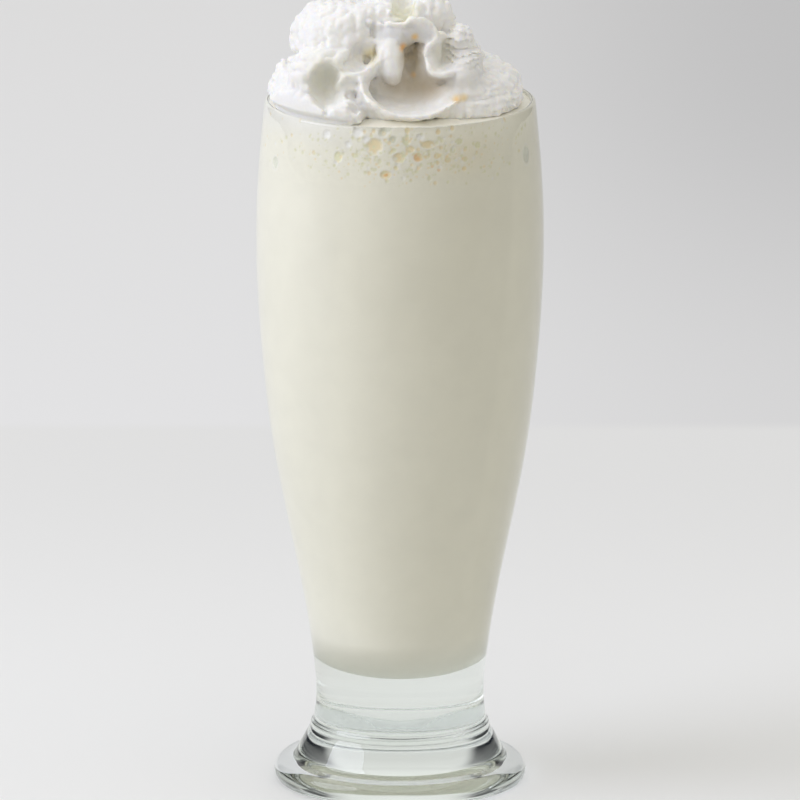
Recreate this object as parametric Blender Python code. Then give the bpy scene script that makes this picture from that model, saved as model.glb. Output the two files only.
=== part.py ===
"""A tall footed glass filled to the brim with yogurt frappe, a band of froth and a swirl of whipped cream.

Four solids: glass, drink, froth and whipped_cream. Sizes here are in millimetres, and the meshes are made
in metres, +Z up. The origin is the centre of the foot's underside, on the surface that the glass stands
on, and the front of the swirl faces -Y.
"""

import math

import bmesh
import bpy
import numpy as np

METRES = 0.001  # one millimetre, in the scene's unit
SIDES = 48  # facets round each turned solid
CLEARANCE = 0.3  # between solids that touch in the real drink

# The glass: heights above the table and radii of its outer wall
RIM_Z, RIM_R = 184.0, 35.55
UPPER_Z, UPPER_R = 166.0, 37.2
BELLY_Z, BELLY_R = 146.0, 37.9
SHOULDER_Z, SHOULDER_R = 116.0, 36.4
MIDDLE_Z, MIDDLE_R = 88.8, 33.1
LOWER_Z, LOWER_R = 62.0, 27.8
NECK_Z, NECK_R = 38.0, 23.5
BASE_Z, BASE_R = 30.0, 22.55
WAIST_Z, WAIST_R = 22.0, 22.2
BEAD_Z, BEAD_R = 17.0, 22.75  # the crease over a moulded bead
BEAD_BULGE = 0.25
CONE_TOP_Z, CONE_TOP_R = 14.4, 23.8
CONE_END_Z, CONE_END_R = 6.4, 28.1
FOOT_TOP_Z, FOOT_TOP_R = 5.9, 30.2
FOOT_EDGE_Z, FOOT_EDGE_R = 2.7, 33.3
FOOT_RING_OUTER_R, FOOT_RING_INNER_R = 31.6, 26.5
FOOT_HOLLOW = 2.4  # height of the shallow hollow under the foot

# The glass: its wall and the well that holds the drink
RIM_WALL = 1.5
BODY_WALL = 2.1
WELL_FLOOR_Z = 30.3
WELL_CORNER_Z = 43.0  # where the wall starts to turn into the floor
CORNER_POWER = 0.8  # under 1 makes the corner squarer than an ellipse

# The drink and its froth
FROTH_FLOOR_Z = 168.0
FROTH_TOP_Z = 183.0

# The cream: its base, the room that it has inside the rim and how finely it is made
CREAM_FLOOR_Z = FROTH_TOP_Z + CLEARANCE
CREAM_TOP_Z = 217.0
CREAM_INSIDE_R = 33.6
CREAM_OVERHANG_R = 35.8
CREAM_OVERHANG_Z = 184.6  # above this the cream may reach out over the rim
CREAM_OVERHANG_SLOPE = 1.3
CREAM_GRID = 0.7
CREAM_TRIANGLES = 5400

# Turns of the piped rope: (degrees from the front, ring radius, height, rope radius)
LOWER_TURN = (
    (-50, 22.5, 187.5, 8.0),
    (-100, 26.5, 185.5, 8.2),
    (-180, 24.5, 186.6, 8.6),
    (-260, 24.8, 186.1, 7.3),
    (-300, 24.5, 185.6, 7.2),
    (-340, 20.0, 185.2, 6.0),
)
MIDDLE_TURN = (
    (50, 14.0, 196.0, 6.0),
    (150, 14.5, 199.0, 7.2),
    (230, 16.0, 200.8, 8.0),
    (268, 17.5, 201.0, 8.6),
    (335, 9.5, 204.2, 7.0),
)
TOP_TURN = (
    (340, 8.0, 205.0, 6.5),
    (450, 7.0, 207.5, 5.2),
    (600, 4.0, 209.0, 5.4),
)
MIDDLE_SHIFT, TOP_SHIFT = -2.5, -0.5  # of each turn's centre, along X
FLUTES = 9  # round the rope, from the star nozzle
FLUTE_DEPTH = 0.05  # as a share of the rope's radius

# Lumps and hollows of the cream: centre, radii and lean about Y in degrees
LUMPS = {
    "core": ((0, 1, 190), (20, 19, 16), 0),
    "crown": ((-1, 3, 203), (11, 9, 8), 0),
    "left_wall": ((-19.0, -16.0, 193.5), (10.0, 10.5, 9.0), 0),
    "left_lobe": ((-15.5, -9.0, 203.5), (11.0, 8.5, 7.5), 15),
    "left_fill": ((-22.5, -15.0, 184.5), (13.0, 13.0, 7.0), 0),
    "front_left": ((-18.5, -23.5, 185.4), (10.0, 8.5, 4.8), 0),
    "front_base": ((1.5, -17.0, 184.9), (13.5, 11.5, 3.4), 0),
    "front_ridge": ((-13.6, -28.6, 186.6), (3.2, 2.8, 3.4), -12),
    "right_upper": ((15.6, -6, 201.0), (3.4, 7, 4.3), 0),
    "right_lower": ((16.4, -6, 196.5), (4.9, 8.5, 5.0), 0),
    "right_wall": ((16.3, -14.5, 193.8), (4.6, 6.5, 5.4), 0),
    "right_top": ((8.8, -3, 207.4), (4.6, 5.5, 4.9), 0),
}
HOLLOWS = {
    "bowl": ((2.4, -25.0, 194.0), (10.9, 11.0, 7.9), 0),
    "channel": ((2.7, -19.5, 198.2), (2.4, 8.0, 7.2), 0),
    "right_trough": ((11.4, -15.0, 202.0), (2.3, 4.0, 6.0), -8),
    "left_recess": ((-10.0, -21.5, 199.9), (4.7, 6.0, 3.2), 25),
    "upper_pit": ((-6.8, -16.0, 205.6), (1.6, 3.6, 2.4), 0),
    "cave": ((-19.3, -28.0, 193.6), (4.8, 8.0, 6.1), 0),
    "cave_notch": ((-19.3, -31.0, 188.8), (1.4, 5.0, 3.8), 0),
    "cave_pit": ((-17.3, -25.0, 201.4), (1.1, 3.5, 1.5), 0),
    "front_dent": ((-11.6, -31.8, 187.8), (2.0, 3.5, 1.7), 0),
    "valley": ((1.0, -8.0, 211.5), (3.4, 7.0, 4.6), 0),
}
DRIP = (
    (-1.8, -14.5, 203.0, 2.6),
    (-2.4, -16.8, 199.4, 3.2),
    (-2.3, -18.2, 196.3, 3.0),
    (-1.5, -18.6, 193.6, 1.8),
)
DRIP_BLEND = 3.0
UNDERCUT = ((4.5, -33.0, 182.3), (14.0, 10.5, 2.6))  # below the bowl's lip, where the froth shows
SPIKE = ((-27.0, -1.0, 190.5, 2.4), (-29.7, -1.2, 193.0, 1.3), (-31.0, -1.4, 194.8, 0.5))
BUMPS = ((4.6, 0.6), (2.7, 0.5))  # (size, depth) of the cream's unevenness

# Thin folds at the front: (x, y, z, share of the fold's thickness) along the free edge
BOWL_LIP = (
    (-4.4, -15.0, 203.4, 0.7),
    (-4.6, -18.5, 199.8, 0.9),
    (-6.3, -21.0, 197.9, 1.0),
    (-9.6, -23.8, 195.4, 1.0),
    (-9.9, -26.6, 192.8, 1.0),
    (-8.6, -29.0, 190.4, 1.0),
    (-7.0, -30.2, 189.2, 1.0),
    (-4.4, -31.0, 187.4, 1.0),
    (-0.6, -31.5, 186.2, 1.0),
    (5.6, -31.4, 186.0, 1.0),
    (8.8, -30.4, 186.6, 0.9),
    (11.6, -28.8, 187.6, 0.8),
    (13.4, -27.0, 188.4, 0.6),
    (15.2, -24.8, 188.9, 0.3),
)
RECESS_LIP = (
    (-6.0, -20.8, 198.2, 0.8),
    (-9.8, -23.8, 196.4, 1.0),
    (-13.4, -25.2, 196.0, 1.0),
    (-15.6, -25.6, 194.2, 0.6),
)
TONGUE = (
    (-7.4, -12.6, 206.6, 0.8),
    (-4.2, -15.0, 207.0, 0.9),
    (-0.5, -16.3, 207.4, 1.0),
    (1.5, -16.5, 207.6, 1.0),
    (3.6, -16.6, 209.0, 1.0),
    (7.9, -15.8, 208.3, 1.0),
    (9.2, -15.8, 206.0, 0.9),
    (9.6, -16.2, 203.6, 0.7),
)
RIGHT_FOLD = (
    (9.6, -16.4, 203.6, 0.8),
    (6.8, -17.8, 200.8, 0.9),
    (7.2, -19.6, 198.0, 1.0),
    (8.4, -20.8, 195.6, 1.0),
    (11.2, -20.8, 195.0, 1.0),
    (14.6, -19.2, 195.8, 0.9),
    (17.6, -16.6, 197.2, 0.7),
    (19.6, -13.0, 198.5, 0.4),
)
FOLDS = (  # free edge, way back to its root, radii at the edge and at the root, rounding where it joins
    (BOWL_LIP, (0, 4.4, -1.4), 0.6, 1.7, 1.2),
    (RECESS_LIP, (0, 3.5, -2.0), 0.6, 1.8, 1.2),
    (TONGUE, (0, 2.0, -4.6), 0.7, 1.8, 1.0),
    (RIGHT_FOLD, (0.8, 6.0, -0.8), 0.8, 2.3, 1.4),
)


def smooth_curve(stations):
    """A natural cubic spline through (x, y) stations in rising x, as a function of x."""
    xs, ys = (np.array(values) for values in zip(*stations))
    count = len(xs)
    steps = np.diff(xs)
    slopes = np.diff(ys) / steps
    system = np.eye(count)
    target = np.zeros(count)
    for i in range(1, count - 1):
        system[i, i - 1 : i + 2] = steps[i - 1], 2 * (steps[i - 1] + steps[i]), steps[i]
        target[i] = 6 * (slopes[i] - slopes[i - 1])
    bends = np.linalg.solve(system, target)

    def value(x):
        i = int(np.clip(np.searchsorted(xs, x) - 1, 0, count - 2))
        before, after = (xs[i + 1] - x) / steps[i], (x - xs[i]) / steps[i]
        bend = (before**3 - before) * bends[i] + (after**3 - after) * bends[i + 1]
        return float(before * ys[i] + after * ys[i + 1] + bend * steps[i] ** 2 / 6)

    return value


outer_radius = smooth_curve(
    (
        (BEAD_Z, BEAD_R),
        (WAIST_Z, WAIST_R),
        (BASE_Z, BASE_R),
        (NECK_Z, NECK_R),
        (LOWER_Z, LOWER_R),
        (MIDDLE_Z, MIDDLE_R),
        (SHOULDER_Z, SHOULDER_R),
        (BELLY_Z, BELLY_R),
        (UPPER_Z, UPPER_R),
        (RIM_Z, RIM_R),
    )
)


def wall_radius(z):
    """Inner radius of the glass above the rounded corner of the well."""
    share = (z - WELL_CORNER_Z) / (RIM_Z - WELL_CORNER_Z)
    wall = BODY_WALL + (RIM_WALL - BODY_WALL) * share
    return outer_radius(z) - wall


def well_profile(top, inset, steps):
    """(radius, z) down the well's wall and along its rounded floor to the axis, inset from the glass."""
    wall = [(wall_radius(z) - inset, z) for z in np.linspace(top, WELL_CORNER_Z, steps)]
    corner_r = wall[-1][0]
    corner_h = WELL_CORNER_Z - WELL_FLOOR_Z - inset
    turns = np.linspace(0, math.pi / 2, 8)[1:-1]
    corner = [
        (corner_r * math.cos(t) ** CORNER_POWER, WELL_CORNER_Z - corner_h * math.sin(t)) for t in turns
    ]
    return wall + corner + [(0.0, WELL_CORNER_Z - corner_h)]


def arc(centre_r, centre_z, radius, height, start, end, steps):
    """Points (radius, z) of an elliptical arc round a centre, from start to end in degrees."""
    turns = np.radians(np.linspace(start, end, steps))
    return [(centre_r + radius * math.cos(t), centre_z + height * math.sin(t)) for t in turns]


def glass_profile():
    """The glass's outline, from the middle of its underside round the outside and down into the well."""
    hollow = [
        (r, FOOT_HOLLOW * (1 - (r / FOOT_RING_INNER_R) ** 2))
        for r in np.linspace(0, FOOT_RING_INNER_R, 5)
    ]
    low_edge = arc(
        FOOT_RING_OUTER_R, FOOT_EDGE_Z, FOOT_EDGE_R - FOOT_RING_OUTER_R, FOOT_EDGE_Z, -90, 0, 4
    )
    high_edge = arc(
        FOOT_TOP_R, FOOT_EDGE_Z, FOOT_EDGE_R - FOOT_TOP_R, FOOT_TOP_Z - FOOT_EDGE_Z, 0, 90, 5
    )
    cone = [(CONE_END_R, CONE_END_Z), (CONE_TOP_R, CONE_TOP_Z)]
    bead = [((CONE_TOP_R + BEAD_R) / 2 + BEAD_BULGE, (CONE_TOP_Z + BEAD_Z) / 2)]
    half_rim = RIM_WALL / 2
    wall = [(outer_radius(z), z) for z in np.linspace(BEAD_Z, RIM_Z - half_rim, 22)]
    rim = arc(RIM_R - half_rim, RIM_Z - half_rim, half_rim, half_rim, 0, 180, 5)
    well = well_profile(RIM_Z - half_rim, 0, 16)
    return hollow + low_edge + high_edge[1:] + cone + bead + wall + rim[1:-1] + well


def turned(name, profile, looks):
    """A closed solid of revolution from (radius, z) points that start and end on the axis."""
    work = bmesh.new()
    points = [work.verts.new((r * METRES, 0, z * METRES)) for r, z in profile]
    edges = [work.edges.new(pair) for pair in zip(points, points[1:])]
    bmesh.ops.spin(
        work,
        geom=points + edges,
        cent=(0, 0, 0),
        axis=(0, 0, 1),
        angle=math.tau,
        steps=SIDES,
        use_merge=True,
    )
    bmesh.ops.remove_doubles(work, verts=work.verts, dist=1e-6)
    return placed(name, work, looks)


def placed(name, work, looks):
    """An object made of the bmesh work, which is used up, with its faces turned outward."""
    bmesh.ops.recalc_face_normals(work, faces=work.faces)
    mesh = bpy.data.meshes.new(name)
    work.to_mesh(mesh)
    work.free()
    mesh.shade_smooth()
    mesh.materials.append(looks)
    solid = bpy.data.objects.new(name, mesh)
    bpy.context.scene.collection.objects.link(solid)
    return solid


def material(name, colour, roughness, see_through=0.0):
    """A plain material of one colour."""
    made = bpy.data.materials.new(name)
    made.use_nodes = True
    shader = made.node_tree.nodes["Principled BSDF"]
    shader.inputs["Base Color"].default_value = (*colour, 1)
    shader.inputs["Roughness"].default_value = roughness
    shader.inputs["Transmission Weight"].default_value = see_through
    return made


def through(stations, gap):
    """Points about gap apart on a smooth curve through the stations, which may carry further values."""
    given = [np.array(station, float) for station in stations]
    given = [2 * given[0] - given[1]] + given + [2 * given[-1] - given[-2]]
    points = []
    for before, start, end, after in zip(given, given[1:], given[2:], given[3:]):
        count = max(int(np.linalg.norm((end - start)[:3]) / gap), 2)
        for t in np.linspace(0, 1, count, endpoint=False):
            bend = 2 * before - 5 * start + 4 * end - after
            twist = 3 * start - before - 3 * end + after
            points.append((2 * start + (end - before) * t + bend * t**2 + twist * t**3) / 2)
    return np.array(points + [given[-2]])


def joined(a, b, blend):
    """The union of two distance fields, rounded over the width blend."""
    overlap = np.maximum(blend - np.abs(a - b), 0) / blend
    return np.minimum(a, b) - overlap**2 * blend / 4


class Cream:
    """A block of points, each with its distance to the cream's surface, negative inside the cream."""

    FAR = 9.0
    MARGIN = 2.0
    EDGE_BLEND = 0.8

    def __init__(self, low, high, step):
        self.low = np.array(low, float)
        self.step = step
        counts = np.ceil((np.array(high) - self.low) / step).astype(int) + 1
        self.axes = [self.low[i] + step * np.arange(counts[i]) for i in range(3)]
        self.distance = np.full(counts, self.FAR, np.float32)

    def near(self, low, high):
        """The slice of the block from low to high, and its points' coordinates."""
        cut = []
        for i in range(3):
            first, last = np.searchsorted(self.axes[i], (low[i], high[i]))
            cut.append(slice(first, last))
        x, y, z = (self.axes[i][cut[i]].astype(np.float32) for i in range(3))
        return tuple(cut), x[:, None, None], y[None, :, None], z[None, None, :]

    def bars(self, starts, ends, flutes=0):
        """Distance to round bars, each from a start to an end (x, y, z, radius), sharply joined."""
        field = np.full_like(self.distance, self.FAR)
        side = np.array((0.0, 0.0, 1.0))
        for start, end in zip(starts, ends):
            reach = max(start[3], end[3]) + self.MARGIN
            low, high = np.minimum(start, end)[:3] - reach, np.maximum(start, end)[:3] + reach
            cut, x, y, z = self.near(low, high)
            along = (end - start)[:3]
            length = max(float(along @ along), 1e-9)
            x, y, z = x - start[0], y - start[1], z - start[2]
            t = np.clip((x * along[0] + y * along[1] + z * along[2]) / length, 0, 1)
            x, y, z = x - t * along[0], y - t * along[1], z - t * along[2]
            radius = start[3] + (end[3] - start[3]) * t
            if flutes:
                ahead = along / math.sqrt(length)
                side = side - ahead * (side @ ahead)
                side /= np.linalg.norm(side)
                up = np.cross(ahead, side)
                across = x * side[0] + y * side[1] + z * side[2]
                turn = np.arctan2(x * up[0] + y * up[1] + z * up[2], across)
                radius = radius * (1 - FLUTE_DEPTH * (1 - np.abs(np.cos(turn * flutes / 2))))
            field[cut] = np.minimum(field[cut], np.sqrt(x * x + y * y + z * z) - radius)
        return field

    def ball(self, centre, radii, lean=0.0):
        """The slice round an ellipsoid that leans about Y, in degrees, and the distance to it there."""
        reach = max(radii) + 2 * self.MARGIN
        cut, x, y, z = self.near(np.array(centre) - reach, np.array(centre) + reach)
        x, y, z = x - centre[0], y - centre[1], z - centre[2]
        cosine, sine = math.cos(math.radians(lean)), math.sin(math.radians(lean))
        x, z = cosine * x + sine * z, cosine * z - sine * x
        scaled = np.sqrt((x / radii[0]) ** 2 + (y / radii[1]) ** 2 + (z / radii[2]) ** 2)
        slope = np.sqrt((x / radii[0] ** 2) ** 2 + (y / radii[1] ** 2) ** 2 + (z / radii[2] ** 2) ** 2)
        return cut, scaled * (scaled - 1) / (slope + 1e-6)

    def add_rope(self, stations, flutes=0, blend=2.0):
        """Adds a rope through (x, y, z, radius) stations."""
        path = through(stations, self.step)
        self.distance = joined(self.distance, self.bars(path[:-1], path[1:], flutes), blend)

    def add_turn(self, stations, shift=0.0):
        """Adds a turn of fluted rope through (degrees, ring radius, height, rope radius) stations."""
        turn, ring, height, radius = through(stations, 10).T
        turn = np.radians(turn)
        path = np.stack([ring * np.sin(turn) + shift, -ring * np.cos(turn), height, radius], 1)
        self.add_rope(path, FLUTES)

    def add_fold(self, edge, back, edge_r, root_r, blend):
        """Adds a sheet from a thin free edge to a thick root, which lies back from the edge by a vector."""
        path = through(edge, 0.6)
        share = np.clip(path[:, 3:], 0.1, 1)
        starts = np.hstack([path[:, :3], edge_r * share])
        ends = np.hstack([path[:, :3] + np.array(back), root_r * share])
        self.distance = joined(self.distance, self.bars(starts, ends), blend)

    def add_ball(self, centre, radii, lean=0.0, blend=2.0):
        """Adds a lump."""
        cut, ball = self.ball(centre, radii, lean)
        self.distance[cut] = joined(self.distance[cut], ball, blend)

    def cut_ball(self, centre, radii, lean=0.0, blend=1.4):
        """Cuts a hollow."""
        cut, ball = self.ball(centre, radii, lean)
        self.distance[cut] = -joined(-self.distance[cut], ball, blend)

    def roughen(self, size, depth, seed):
        """Moves the surface in and out by up to depth, in bumps of about the given size."""
        close = np.nonzero(np.abs(self.distance) < 2 * depth)
        table = np.random.default_rng(seed).uniform(-depth, depth, (32, 32, 32))
        at = [self.axes[i][close[i]] / size for i in range(3)]
        cell = [np.floor(values).astype(int) for values in at]
        part = [values - whole for values, whole in zip(at, cell)]
        part = [share * share * (3 - 2 * share) for share in part]
        bumps = np.zeros(len(close[0]))
        for corner in np.ndindex(2, 2, 2):
            weight = np.ones(len(bumps))
            for i in range(3):
                weight *= part[i] if corner[i] else 1 - part[i]
            index = tuple((cell[i] + corner[i]) % 32 for i in range(3))
            bumps += weight * table[index]
        self.distance[close] += bumps.astype(np.float32)

    def trim(self):
        """Cuts the flat underside and keeps the cream inside the glass, or clear above its rim."""
        cut, x, y, z = self.near(self.low - 1, self.low + 1e3)
        over = np.maximum(z - CREAM_OVERHANG_Z, 0) * CREAM_OVERHANG_SLOPE
        limit = np.minimum(CREAM_INSIDE_R + over, CREAM_OVERHANG_R)
        outside = np.sqrt(x * x + y * y) - limit
        self.distance = -joined(-self.distance, -outside, self.EDGE_BLEND)
        self.distance = np.maximum(self.distance, CREAM_FLOOR_Z - z)

    def close_touches(self):
        """Fills the grid's points where the surface would touch itself along an edge or at a corner."""
        filling = True
        while filling:
            filling = False
            inside = self.distance < 0
            squares = [(1, 1, 0), (1, 0, 1), (0, 1, 1)]
            for extent in squares + [(1, 1, 1)]:
                corners = list(np.ndindex(*(count + 1 for count in extent)))
                size = [count - along for count, along in zip(inside.shape, extent)]
                cuts = [tuple(slice(c, c + s) for c, s in zip(corner, size)) for corner in corners]
                full = sum(inside[cut].astype(np.int8) for cut in cuts)
                touch = np.zeros(size, bool)
                for near, far in zip(cuts[: len(cuts) // 2], cuts[::-1]):
                    pair = inside[near].astype(np.int8) + inside[far]
                    touch |= (pair == full) & (full == 2)
                    if extent == (1, 1, 1):
                        touch |= (pair == 0) & (full == 6)
                if touch.any():
                    filling = True
                    for cut in cuts:
                        view = self.distance[cut]
                        view[touch] = np.minimum(view[touch], -self.step / 4)
                    inside = self.distance < 0

    def surface(self):
        """Corners and four-sided faces of the cream's surface, one corner in each cell that it crosses."""
        inside = self.distance < 0
        size = [count - 1 for count in inside.shape]
        corners = list(np.ndindex(2, 2, 2))
        views = [inside[tuple(slice(c, c + s) for c, s in zip(corner, size))] for corner in corners]
        full = sum(view.astype(np.int8) for view in views)
        cells = np.nonzero((full > 0) & (full < len(corners)))
        number = np.full(size, -1)
        number[cells] = np.arange(len(cells[0]))
        value = {c: self.distance[tuple(cell + step for cell, step in zip(cells, c))] for c in corners}
        total = np.zeros((len(cells[0]), 3))
        crossings = np.zeros((len(cells[0]), 1))
        for corner in corners:
            for axis in range(3):
                if corner[axis]:
                    continue
                far = value[tuple(1 if i == axis else corner[i] for i in range(3))]
                crossed = (value[corner] < 0) != (far < 0)
                point = np.tile(np.array(corner, float), (len(far), 1))
                point[crossed, axis] += (value[corner] / np.where(crossed, value[corner] - far, 1))[crossed]
                total += point * crossed[:, None]
                crossings += crossed[:, None]
        points = self.low + (np.stack(cells, 1) + total / crossings) * self.step
        faces = []
        for axis in range(3):
            first, second = (i for i in range(3) if i != axis)
            here = inside.take(range(size[axis]), axis)
            there = inside.take(range(1, size[axis] + 1), axis)
            edges = np.nonzero(here != there)
            kept = np.all([(edges[i] > 0) & (edges[i] < size[i]) for i in (first, second)], axis=0)
            edges = [values[kept] for values in edges]
            ring = []
            for shift in ((0, 0), (1, 0), (1, 1), (0, 1)):
                cell = list(edges)
                cell[first] = cell[first] - shift[0]
                cell[second] = cell[second] - shift[1]
                ring.append(number[tuple(cell)])
            quads = np.stack(ring, 1)
            inward = here[tuple(edges)] == (axis == 1)
            quads[inward] = quads[inward][:, ::-1]
            faces.append(quads)
        return points, np.concatenate(faces)


def shaped_cream(step):
    """The whole swirl as a distance field on a grid of the given step."""
    cream = Cream((-37, -37, CREAM_FLOOR_Z - 1.3), (37, 37, CREAM_TOP_Z), step)
    cream.add_turn(LOWER_TURN)
    cream.add_turn(MIDDLE_TURN, MIDDLE_SHIFT)
    cream.add_turn(TOP_TURN, TOP_SHIFT)
    for lump in LUMPS.values():
        cream.add_ball(*lump)
    cream.add_rope(SPIKE)
    for hollow in HOLLOWS.values():
        cream.cut_ball(*hollow)
    cream.add_rope(DRIP, blend=DRIP_BLEND)
    for fold in FOLDS:
        cream.add_fold(*fold)
    cream.cut_ball(*UNDERCUT)
    for seed, (size, depth) in enumerate(BUMPS):
        cream.roughen(size, depth, seed)
    cream.trim()
    cream.close_touches()
    return cream


def largest_body(work):
    """Drops every connected body but the one with the most faces: loose scraps and closed bubbles."""
    left = set(work.faces)
    bodies = []
    while left:
        front = [left.pop()]
        body = []
        while front:
            face = front.pop()
            body.append(face)
            beside = {other for edge in face.edges for other in edge.link_faces} & left
            left -= beside
            front.extend(beside)
        bodies.append(body)
    bodies.sort(key=len)
    for body in bodies[:-1]:
        corners = {corner for face in body for corner in face.verts}
        bmesh.ops.delete(work, geom=list(corners), context="VERTS")


def whipped_cream(looks):
    """The swirl as one solid of about CREAM_TRIANGLES triangles."""
    points, faces = shaped_cream(CREAM_GRID).surface()
    mesh = bpy.data.meshes.new("cream_surface")
    mesh.from_pydata((points * METRES).tolist(), [], faces.tolist())
    work = bmesh.new()
    work.from_mesh(mesh)
    largest_body(work)
    bmesh.ops.triangulate(work, faces=work.faces)
    share = CREAM_TRIANGLES / len(work.faces)
    solid = placed("whipped_cream", work, looks)
    fewer = solid.modifiers.new("fewer", "DECIMATE")
    fewer.ratio = share
    return solid


def main():
    for old in list(bpy.data.objects):
        bpy.data.objects.remove(old)
    clear_glass = material("clear_glass", (0.93, 0.96, 0.94), 0.02, 1.0)
    frappe = material("frappe", (0.86, 0.85, 0.78), 0.35)
    foam = material("foam", (0.87, 0.86, 0.80), 0.4)
    white_cream = material("white_cream", (0.94, 0.93, 0.90), 0.5)
    turned("glass", glass_profile(), clear_glass)
    drink_top = FROTH_FLOOR_Z - CLEARANCE
    turned("drink", [(0.0, drink_top)] + well_profile(drink_top, CLEARANCE, 14), frappe)
    froth_wall = [(wall_radius(z) - CLEARANCE, z) for z in np.linspace(FROTH_TOP_Z, FROTH_FLOOR_Z, 4)]
    turned("froth", [(0.0, FROTH_TOP_Z)] + froth_wall + [(0.0, FROTH_FLOOR_Z)], foam)
    whipped_cream(white_cream)


main()
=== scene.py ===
"""A glass of yogurt frappe with whipped cream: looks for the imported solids, seen as in the photograph.

Lengths here are in millimetres unless a name ends in _M. The front of the swirl faces -Y.
"""

import math

import bmesh
import bpy
import numpy as np
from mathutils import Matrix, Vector

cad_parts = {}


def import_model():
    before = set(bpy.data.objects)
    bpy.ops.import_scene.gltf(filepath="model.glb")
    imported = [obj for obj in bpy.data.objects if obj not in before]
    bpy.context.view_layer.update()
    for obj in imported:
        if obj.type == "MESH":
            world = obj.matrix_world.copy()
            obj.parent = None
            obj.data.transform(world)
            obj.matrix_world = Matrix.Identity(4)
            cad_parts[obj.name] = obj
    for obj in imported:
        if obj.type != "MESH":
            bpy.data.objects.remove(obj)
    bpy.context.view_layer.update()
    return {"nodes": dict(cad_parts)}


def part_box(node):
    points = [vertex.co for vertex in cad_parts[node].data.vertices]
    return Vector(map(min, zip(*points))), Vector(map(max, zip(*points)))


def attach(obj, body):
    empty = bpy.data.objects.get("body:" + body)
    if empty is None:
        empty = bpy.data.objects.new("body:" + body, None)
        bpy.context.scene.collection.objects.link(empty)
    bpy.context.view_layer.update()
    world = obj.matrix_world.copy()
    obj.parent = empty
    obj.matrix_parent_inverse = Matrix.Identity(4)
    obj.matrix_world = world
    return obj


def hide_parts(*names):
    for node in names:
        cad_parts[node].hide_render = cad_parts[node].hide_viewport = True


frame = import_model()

METRES = 0.001
AROUND = 192  # facets round the glass and the drink
SHARP_ANGLE = 50  # degrees between faces that look sharp

# The camera: a long lens, a little above the glass
CAMERA_DISTANCE_M = 4.0
CAMERA_RISE = 13.5  # degrees above the horizon
CAMERA_AIM_M = 0.1027  # height on the glass's axis at the middle of the frame
FRAME_HEIGHT_M = 0.2111  # seen at the glass, from the frame's top to its bottom

# The light
KEY_AT_M = (-1.35, -0.34, 1.12)
KEY_AIM_M = (0.0, 0.0, 0.12)
KEY_SIZE_M = 1.4
KEY_POWER = 11.5
KEY_COLOUR = (0.95, 0.985, 1.16)

# How far the drink and the froth reach past their solids, into the wall of the glass
WALL_GAP = 0.3
INTO_WALL = 0.15
FROTH_LAP = 1.0  # how far the froth reaches down outside the drink
FROTH_TOP_RELIEF = 0.3
FROTH_SWELL = 1.6  # rise of its top below the bowl's lip
BUBBLE_DEPTH = 0.25  # as a share of a bubble's half width
WELL_R = 20.0  # less than the radius of the well's wall anywhere

# The cream
CREAM_FLOOR_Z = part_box("whipped_cream")[0][2] / METRES
CREAM_TOP_Z = 217.0  # top of the block that it is worked out in
CREAM_INSIDE_R = 33.6  # inside the glass
CREAM_OVERHANG_R = 35.8  # above the rim
CREAM_OVERHANG_Z = 184.6  # above this the cream may reach out over the rim
CREAM_OVERHANG_SLOPE = 1.3
CREAM_GRID = 0.38
CREAM_REACH = 37.0  # half the width of that block
CREAM_BELOW = 1.3  # depth of that block below the cream's floor

# Turns of the piped rope: (degrees from the front, ring radius, height, rope radius)
LOWER_TURN = (
    (-50, 22.5, 187.5, 8.0),
    (-100, 26.5, 185.5, 8.2),
    (-180, 24.5, 186.6, 8.6),
    (-260, 24.8, 186.1, 7.3),
    (-300, 24.5, 185.6, 7.2),
    (-340, 20.0, 185.2, 6.0),
)
MIDDLE_TURN = (
    (50, 14.0, 196.0, 6.0),
    (150, 14.5, 199.0, 7.2),
    (230, 16.0, 200.8, 8.0),
    (268, 17.5, 201.0, 8.6),
    (335, 9.5, 204.2, 7.0),
)
TOP_TURN = (
    (340, 8.0, 205.0, 6.5),
    (450, 7.0, 207.5, 5.2),
    (600, 4.0, 209.0, 5.4),
)
MIDDLE_SHIFT, TOP_SHIFT = -2.5, -0.5  # of each turn's centre, along X
FLUTES = 9  # round the rope, from the star nozzle
FLUTE_DEPTH = 0.05  # as a share of the rope's radius

# Lumps and hollows of the cream: centre, radii and lean about Y in degrees
LUMPS = {
    "core": ((0, 1, 190), (20, 19, 16), 0),
    "crown": ((-1, 3, 203), (11, 9, 8), 0),
    "left_wall": ((-19.0, -16.0, 193.5), (10.0, 10.5, 9.0), 0),
    "left_lobe": ((-15.5, -9.0, 203.5), (11.0, 8.5, 7.5), 15),
    "left_fill": ((-22.5, -15.0, 184.5), (13.0, 13.0, 7.0), 0),
    "front_left": ((-18.5, -23.5, 185.4), (10.0, 8.5, 4.8), 0),
    "front_base": ((1.5, -17.0, 184.9), (13.5, 11.5, 3.4), 0),
    "front_ridge": ((-13.6, -28.6, 186.6), (3.2, 2.8, 3.4), -12),
    "right_upper": ((15.6, -6, 201.0), (3.4, 7, 4.3), 0),
    "right_lower": ((16.4, -6, 196.5), (4.9, 8.5, 5.0), 0),
    "right_wall": ((16.3, -14.5, 193.8), (4.6, 6.5, 5.4), 0),
    "right_top": ((8.8, -3, 207.4), (4.6, 5.5, 4.9), 0),
}
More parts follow.
